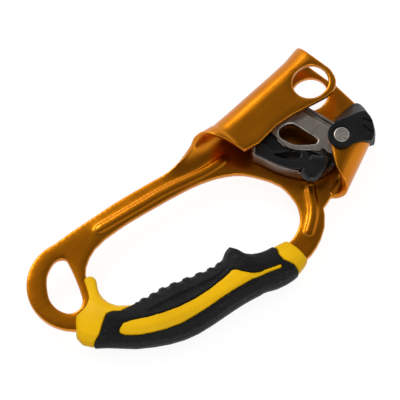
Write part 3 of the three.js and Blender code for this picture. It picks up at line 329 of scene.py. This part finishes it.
def anodised_plate(settings):
    """Cloudy dyed gold with fine specks, and rims painted brighter, partly as dye worn thin and
    partly as a painted highlight along the edges.
    """
    finish = Finish(
        "plate_gold", Metallic=1.0, Coat_Weight=0.2, Coat_Roughness=0.14, Coat_IOR=1.5,
    )
    clouds = finish.ranged(finish.noise(26, 2), MIDDLE, FULL)
    specks = finish.ranged(finish.noise(0.4, 2), (0.64, 0.76), (0.0, 0.4))
    faces = finish.mixed(
        specks, finish.mixed(clouds, settings.deep_gold, settings.gold), settings.worn_and_highlit_edge_gold
    )
    # Rims turn to the bright edge gold under a cloudy noise: worn dye, and a painted highlight
    # along the edges.
    rim = add_node(finish.tree, "ShaderNodeAttribute", attribute_name=RIM_NAME).outputs["Fac"]
    rim_wear_and_painted_highlight = finish.ranged(finish.noise(3.5, 3), (0.35, 0.7), (0.25, 0.85))
    finish.colour(finish.mixed(finish.product(rim, rim_wear_and_painted_highlight), faces, settings.worn_and_highlit_edge_gold))
    rolled = finish.noise(1.6, 3, finish.stretched((1, 0.1, 1)))
    finish.roughness(
        finish.ranged(rolled, MIDDLE, (settings.roughness - 0.015, settings.roughness + 0.02))
    )
    finish.bump((finish.noise(0.4, 2), 0.01, 0.35))
    return finish.material


def chromed_casting(settings):
    """Stained dark chrome with slanting brush marks."""
    bare_metal = (0.55, 0.52, 0.5)
    finish = Finish("cam_steel", Metallic=1.0)
    stains = finish.noise(5, 4)
    brushed = finish.noise(0.5, 3, finish.stretched((1, 0.08, 1), 60))
    tone = finish.mixed(
        finish.ranged(stains, (0.35, 0.68), FULL), settings.casting_dark, settings.casting
    )
    finish.colour(
        finish.mixed(finish.ranged(brushed, (0.45, 0.75), (0.0, 0.35)), tone, bare_metal)
    )
    finish.roughness(finish.ranged(stains, MIDDLE, (0.45, 0.3)))
    finish.bump((finish.noise(0.45, 3), 0.02, 0.5), (brushed, 0.01, 0.4))
    return finish.material


def turned_steel(settings):
    """Satin rivet steel with fine scratches."""
    finish = Finish("rivet_steel", Metallic=1.0)
    stains = finish.ranged(finish.noise(1.4, 3), (0.35, 0.7), FULL)
    scratches = finish.noise(0.35, 3, finish.stretched((1, 0.15, 1), 25))
    finish.colour(finish.mixed(stains, scaled(settings.rivet, 0.72), settings.rivet))
    finish.roughness(finish.ranged(scratches, MIDDLE, (0.24, 0.4)))
    finish.bump((scratches, 0.01, 0.4), (finish.noise(0.8, 2), 0.02, 0.3))
    return finish.material


def drawn_wire(settings):
    """Bright spring wire with darker streaks from the drawing die."""
    streak = (0.4, 0.4, 0.41)
    finish = Finish("spring_steel", Metallic=1.0)
    drawn = finish.noise(0.3, 2)
    finish.colour(finish.mixed(finish.ranged(drawn, MIDDLE, FULL), streak, settings.wire))
    finish.roughness(finish.ranged(drawn, MIDDLE, (0.2, 0.34)))
    finish.bump((drawn, 0.005, 0.3))
    return finish.material


def moulded_black(name, settings, roughness, shine):
    """Black plastic with a cloudy gloss and a little dust."""
    dust_grey = (0.3, 0.3, 0.3)
    finish = Finish(name, Specular_IOR_Level=shine)
    cloud = finish.noise(7, 3)
    dust = finish.ranged(finish.noise(0.5, 2), (0.72, 0.78), (0.0, 0.06))
    tone = finish.mixed(
        finish.ranged(cloud, MIDDLE, FULL), settings.black, scaled(settings.black, 1.5)
    )
    finish.colour(finish.mixed(dust, tone, dust_grey))
    finish.roughness(finish.ranged(cloud, MIDDLE, (roughness - 0.05, roughness + 0.07)))
    finish.bump((finish.noise(0.35, 2), 0.012, 0.3), (finish.noise(3, 2), 0.05, 0.15))
    return finish.material


def hard_yellow(settings):
    """Yellow plastic with flow marks and grime."""
    grime_brown = (0.3, 0.17, 0.02)
    finish = Finish("grip_yellow", Specular_IOR_Level=0.12)
    flow = finish.ranged(finish.noise(18, 2), MIDDLE, FULL)
    grime = finish.ranged(finish.noise(1.1, 4), (0.66, 0.8), (0.0, 0.28))
    tone = finish.mixed(flow, scaled(settings.yellow, 0.88), settings.yellow)
    finish.colour(finish.mixed(grime, tone, grime_brown))
    finish.roughness(finish.ranged(finish.noise(2.5, 2), MIDDLE, (0.38, 0.5)))
    finish.bump((finish.noise(0.4, 2), 0.02, 0.3), (finish.noise(6, 2), 0.1, 0.12))
    return finish.material


def dusty_rubber(settings):
    """Black rubber with a fine grain and patches of pale flecks."""
    fleck_grey = (0.28, 0.27, 0.24)
    finish = Finish("grip_rubber", Specular_IOR_Level=0.12)
    cloud = finish.ranged(finish.noise(9, 3), MIDDLE, FULL)
    tone = finish.mixed(cloud, settings.black, scaled(settings.black, 1.7))
    flecks = finish.ranged(finish.noise(0.55, 1), (0.71, 0.76), FULL)
    patches = finish.ranged(finish.noise(14, 2), (0.42, 0.62), (0.05, 0.75))
    finish.colour(finish.mixed(finish.product(flecks, patches), tone, fleck_grey))
    finish.roughness(finish.ranged(finish.noise(1.8, 3), MIDDLE, (0.5, 0.68)))
    finish.bump((finish.noise(0.45, 3), 0.04, 0.5), (finish.noise(4, 2), 0.12, 0.15))
    return finish.material


# ---------------------------------------------------------------- shaping


def pick_only(piece):
    bpy.ops.object.select_all(action="DESELECT")
    piece.select_set(True)
    bpy.context.view_layer.objects.active = piece


def joined_copy(node, name, flats_joined=False):
    """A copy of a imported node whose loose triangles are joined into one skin."""
    piece = bpy.data.objects.new(name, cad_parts[node].data.copy())
    piece.data.materials.clear()
    bpy.context.scene.collection.objects.link(piece)
    pick_only(piece)
    bpy.ops.object.mode_set(mode="EDIT")
    bpy.ops.mesh.select_all(action="SELECT")
    bpy.ops.mesh.remove_doubles(threshold=JOIN_DISTANCE)
    if flats_joined:
        bpy.ops.mesh.dissolve_limited(angle_limit=PLANE_ANGLE)
    bpy.ops.object.mode_set(mode="OBJECT")
    return piece


def apply_modifier(piece, kind, **values):
    pick_only(piece)
    made = piece.modifiers.new(kind.title(), kind)
    for key, value in values.items():
        setattr(made, key, value)
    bpy.ops.object.modifier_apply(modifier=made.name)


def surface_of(node):
    """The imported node's own faces, to find the nearest one to a point."""
    return BVHTree.FromObject(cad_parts[node], bpy.context.evaluated_depsgraph_get())


def soften_edges(piece, node, width):
    """Rounds the hard edges of a turned part and keeps its flat faces flat."""
    apply_modifier(
        piece, "BEVEL", width=width, segments=BEVEL_STEPS, limit_method="ANGLE",
        angle_limit=SHARP_ANGLE, use_clamp_overlap=False, miter_outer="MITER_ARC",
    )
    settle(piece, node, width)
    bpy.ops.object.shade_smooth_by_angle(angle=SHARP_ANGLE)
    apply_modifier(piece, "WEIGHTED_NORMAL", mode="FACE_AREA", keep_sharp=True)


def settle(piece, node, reach):
    """Draws in any corner that the bevel threw further than reach from the node's surface."""
    surface = surface_of(node)
    for vertex in piece.data.vertices:
        place, _, _, distance = surface.find_nearest(vertex.co)
        if distance > reach:
            vertex.co = place


def mould(piece, grid, rounds):
    """Gives a sheet, a moulding or a casting one even skin with rounded edges."""
    apply_modifier(piece, "REMESH", mode="VOXEL", voxel_size=grid, adaptivity=0)
    if rounds:
        apply_modifier(piece, "SMOOTH", factor=SMOOTHING, iterations=rounds)
    bpy.ops.object.shade_smooth()


def edge_ends(mesh):
    """The vertices at the first and at the second end of every edge."""
    ends = numpy.empty(len(mesh.edges) * 2, dtype=int)
    mesh.edges.foreach_get("vertices", ends)
    return ends.reshape(-1, 2).T


def mark_rims(piece, node):
    """Keeps on each vertex how far the skin turns away there from the node's own faces."""
    mesh = piece.data
    surface = surface_of(node)
    shares = []
    for vertex in mesh.vertices:
        _, normal, _, _ = surface.find_nearest(vertex.co)
        turned = 1 - normal.dot(vertex.normal)
        shares.append(min(1, max(0, (turned - FLAT_TURN) / (RIM_TURN - FLAT_TURN))))
    shares = numpy.array(shares)
    first, second = edge_ends(mesh)
    for _ in range(SPREAD_ROUNDS):
        total, count = shares.copy(), numpy.ones(len(shares))
        for here, there in ((first, second), (second, first)):
            numpy.add.at(total, here, shares[there])
            numpy.add.at(count, here, 1)
        shares = total / count
    mesh.attributes.new(RIM_NAME, "FLOAT", "POINT").data.foreach_set("value", shares)
    broad = piece.vertex_groups.new(name=BROAD_NAME)
    for index, share in enumerate(shares.tolist()):
        broad.add([index], max(0, 1 - share / BROAD_LIMIT), "REPLACE")


def even_shading(piece):
    """Evens the shading along the broad faces and folds, and stops at beads and rims."""
    mesh = piece.data
    normals = numpy.empty(len(mesh.vertices) * 3)
    mesh.vertex_normals.foreach_get("vector", normals)
    normals = normals.reshape(-1, 3)
    first, second = edge_ends(mesh)
    limit = math.cos(SOFT_ANGLE)
    for step in range(SHADING_ROUNDS):
        least = BLUR_SHARE if step < BLUR_ROUNDS else 0
        alike = (normals[first] * normals[second]).sum(axis=1, keepdims=True)
        share = numpy.clip((alike - limit) / (1 - limit), least, 1)
        total = normals.copy()
        numpy.add.at(total, first, share * normals[second])
        numpy.add.at(total, second, share * normals[first])
        normals = total / numpy.linalg.norm(total, axis=1, keepdims=True)
    mesh.normals_split_custom_set_from_vertices(normals)


def dress(piece, body, node, finish):
    piece.data.materials.append(finish)
    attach(piece, body)
    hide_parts(node)


# ---------------------------------------------------------------- pieces


class ASCENDER_OT_plate(bpy.types.Operator):
    """Makes the folded plate with tumbled edges and anodised faces"""

    bl_idname = "ascender.plate"
    bl_label = "Folded plate"

    def execute(self, context):
        settings = context.scene.ascender_plate
        piece = joined_copy("frame", "folded_plate")
        mould(piece, settings.grid, PLATE_ROUNDS)
        mark_rims(piece, "frame")
        apply_modifier(
            piece, "SMOOTH", factor=SMOOTHING, iterations=RIM_ROUNDS,
            vertex_group=BROAD_NAME, invert_vertex_group=True,
        )
        apply_modifier(
            piece, "DECIMATE", decimate_type="COLLAPSE", ratio=KEPT_TRIANGLES,
            vertex_group=BROAD_NAME,
        )
        even_shading(piece)
        dress(piece, "handle_frame", "frame", anodised_plate(settings))
        return {"FINISHED"}


class ASCENDER_OT_grip(bpy.types.Operator):
    """Makes the hard yellow core and the soft black cover of the grip"""

    bl_idname = "ascender.grip"
    bl_label = "Handle grip"

    def execute(self, context):
        settings = context.scene.ascender_grip
        for node, name, slot, make_finish in (
            ("grip_core", "grip_core_yellow", "grip_hard", hard_yellow),
            ("grip_cover", "grip_cover_black", "grip_soft", dusty_rubber),
        ):
            piece = joined_copy(node, name)
            mould(piece, settings.grid, settings.softening)
            dress(piece, "handle_frame", node, make_finish(settings))
        return {"FINISHED"}


class ASCENDER_OT_mouldings(bpy.types.Operator):
    """Makes the black palm cap and the black thumb catch"""

    bl_idname = "ascender.mouldings"
    bl_label = "Cap and catch"

    def execute(self, context):
        settings = context.scene.ascender_moulded
        for node, name, body, roughness, shine in (
            (
                "palm_cap", "palm_cap_black", "handle_frame",
                settings.cap_roughness, settings.cap_shine,
            ),
            (
                "catch", "thumb_catch_black", "catch_lever",
                settings.catch_roughness, settings.catch_shine,
            ),
        ):
            piece = joined_copy(node, name)
            mould(piece, settings.grid, MOULDING_ROUNDS)
            finish = moulded_black(name + "_finish", settings, roughness, shine)
            dress(piece, body, node, finish)
        return {"FINISHED"}


class ASCENDER_OT_cam(bpy.types.Operator):
    """Makes the toothed cam with the rounded edges of a casting"""

    bl_idname = "ascender.cam"
    bl_label = "Toothed cam"

    def execute(self, context):
        settings = context.scene.ascender_steel
        piece = joined_copy("cam", "toothed_cam")
        mould(piece, settings.grid, CASTING_ROUNDS)
        dress(piece, "cam_body", "cam", chromed_casting(settings))
        return {"FINISHED"}


class ASCENDER_OT_pins(bpy.types.Operator):
    """Makes the axle rivet, its sleeve, the rear washer and the catch pin"""

    bl_idname = "ascender.pins"
    bl_label = "Rivet and pins"

    def execute(self, context):
        finish = turned_steel(context.scene.ascender_steel)
        for node, name, body, edge_mm in (
            ("axle_rivet", "axle_rivet_steel", "handle_frame", 0.25),
            ("axle_sleeve", "axle_sleeve_steel", "handle_frame", 0.1),
            ("rear_washer", "rear_washer_steel", "handle_frame", 0.12),
            ("catch_pin", "catch_pin_steel", "cam_body", 0.12),
        ):
            piece = joined_copy(node, name, flats_joined=True)
            soften_edges(piece, node, edge_mm * MM)
            dress(piece, body, node, finish)
        return {"FINISHED"}


class ASCENDER_OT_springs(bpy.types.Operator):
    """Makes the two return springs"""

    bl_idname = "ascender.springs"
    bl_label = "Springs"

    def execute(self, context):
        finish = drawn_wire(context.scene.ascender_steel)
        for node, name in (
            ("cam_spring", "cam_spring_wire"),
            ("catch_spring", "catch_spring_wire"),
        ):
            piece = joined_copy(node, name)
            apply_modifier(piece, "SUBSURF", levels=WIRE_LEVELS, render_levels=WIRE_LEVELS)
            bpy.ops.object.shade_smooth()
            dress(piece, "cam_body", node, finish)
        return {"FINISHED"}


# ---------------------------------------------------------------- studio


def seen_in(tree):
    """One where a camera, glossy or transmitted ray looks, else nothing."""
    rays = add_node(tree, "ShaderNodeLightPath").outputs
    seen = combined(tree, "MAXIMUM", rays["Is Camera Ray"], rays["Is Glossy Ray"])
    return combined(tree, "MAXIMUM", seen, rays["Is Transmission Ray"])


def make_floor(settings):
    """A pale floor that looks white and keeps the object's shadow."""
    lowest = Vector(CAD_BOX[0])
    bpy.ops.object.select_all(action="DESELECT")
    bpy.ops.mesh.primitive_plane_add(size=FLOOR_SIZE, location=(0, 0, lowest.z - FLOOR_GAP))
    floor = bpy.context.active_object
    floor.name = "studio_floor"
    material = bpy.data.materials.new("studio_white")
    material.use_nodes = True
    tree = material.node_tree
    tone = settings.floor_tone
    shader = tree.nodes["Principled BSDF"]
    for socket, source in (
        ("Base Color", (tone, tone, tone, 1)),
        ("Roughness", 0.9),
        ("Specular IOR Level", 0),
        ("Emission Color", WHITE),
        ("Emission Strength", combined(tree, "MULTIPLY", seen_in(tree), settings.floor_glow)),
    ):
        feed(tree, shader.inputs[socket], source)
    floor.data.materials.append(material)


def make_sky(settings):
    """A bright sweep at the horizon and a dimmer ceiling overhead."""
    world = bpy.data.worlds.new("studio_sky")
    bpy.context.scene.world = world
    world.use_nodes = True
    tree = world.node_tree
    place = add_node(tree, "ShaderNodeTexCoord").outputs["Generated"]
    height = add_node(tree, "ShaderNodeSeparateXYZ", {0: place}).outputs["Z"]
    fade = map_range(tree, height, SWEEP, (HORIZON, settings.ceiling), "SMOOTHSTEP")
    unseen, seen = MIX_VALUES
    inputs = {MIX_SHARE: seen_in(tree), unseen: settings.sky_light, seen: fade}
    strength = add_node(tree, "ShaderNodeMix", inputs, data_type="FLOAT").outputs[MIXED_VALUE]
    background = tree.nodes["Background"]
    feed(tree, background.inputs["Strength"], strength)
    feed(tree, background.inputs["Color"], WHITE)


def make_lamp(name, direction, distance, size, power):
    """A round soft lamp that looks at the origin from the given direction."""
    data = bpy.data.lights.new(name, "AREA")
    data.shape = "DISK"
    data.size = size
    data.energy = power
    lamp = bpy.data.objects.new(name, data)
    bpy.context.scene.collection.objects.link(lamp)
    aim = Vector(direction).normalized()
    lamp.location = aim * distance
    lamp.rotation_mode = "QUATERNION"
    lamp.rotation_quaternion = aim.to_track_quat("Z", "Y")


def make_camera(settings):
    """A long lens that looks down at the object from the azimuth and elevation."""
    back = Vector((
        math.sin(settings.azimuth) * math.cos(settings.elevation),
        -math.cos(settings.azimuth) * math.cos(settings.elevation),
        math.sin(settings.elevation),
    ))
    data = bpy.data.cameras.new("studio_camera")
    data.sensor_width = SENSOR_MM
    data.lens = SENSOR_MM * settings.distance / settings.seen_width
    data.clip_start = CLIP_NEAR
    data.clip_end = CLIP_FAR
    camera = bpy.data.objects.new("studio_camera", data)
    bpy.context.scene.collection.objects.link(camera)
    camera.location = Vector(settings.looked_at) + back * settings.distance
    camera.rotation_mode = "QUATERNION"
    camera.rotation_quaternion = (-back).to_track_quat("-Z", "Y")
    bpy.context.scene.camera = camera


class ASCENDER_OT_studio(bpy.types.Operator):
    """Makes the white floor, the sky, the soft lamps and the camera"""

    bl_idname = "ascender.studio"
    bl_label = "Studio"

    def execute(self, context):
        settings = context.scene.ascender_studio
        context.scene.view_settings.view_transform = "Standard"
        make_floor(settings)
        make_sky(settings)
        make_lamp(
            "key_lamp", direction=(-0.7, 0.1, 0.7), distance=1.2, size=0.5,
            power=settings.key_power,
        )
        make_lamp(
            "fill_lamp", direction=(0.8, -0.5, 0.6), distance=1.4, size=0.8,
            power=settings.fill_power,
        )
        make_camera(settings)
        return {"FINISHED"}


class ASCENDER_PT_panel(bpy.types.Panel):
    """Lists the steps that dress the ascender"""

    bl_idname = "ASCENDER_PT_panel"
    bl_label = "Hand Ascender"
    bl_space_type = "VIEW_3D"
    bl_region_type = "UI"
    bl_category = "Ascender"

    def draw(self, context):
        for kind in OPERATORS:
            self.layout.operator(kind.bl_idname)
        for name in SETTINGS:
            group = getattr(context.scene, name)
            box = self.layout.box()
            for key in group.bl_rna.properties.keys():
                if key not in ("rna_type", "name"):
                    box.prop(group, key)


SETTINGS = {
    "ascender_plate": PlateSettings,
    "ascender_steel": SteelSettings,
    "ascender_moulded": MouldedSettings,
    "ascender_grip": GripSettings,
    "ascender_studio": StudioSettings,
}
OPERATORS = (
    ASCENDER_OT_plate,
    ASCENDER_OT_grip,
    ASCENDER_OT_mouldings,
    ASCENDER_OT_cam,
    ASCENDER_OT_pins,
    ASCENDER_OT_springs,
    ASCENDER_OT_studio,
)
CLASSES = (*SETTINGS.values(), *OPERATORS, ASCENDER_PT_panel)


def register():
    for kind in CLASSES:
        bpy.utils.register_class(kind)
    for name, kind in SETTINGS.items():
        setattr(bpy.types.Scene, name, PointerProperty(type=kind))


def unregister():
    for name in SETTINGS:
        delattr(bpy.types.Scene, name)
    for kind in reversed(CLASSES):
        bpy.utils.unregister_class(kind)


def main():
    register()
    for kind in OPERATORS:
        group, step = kind.bl_idname.split(".")
        getattr(getattr(bpy.ops, group), step)()


if __name__ == "__main__":
    main()
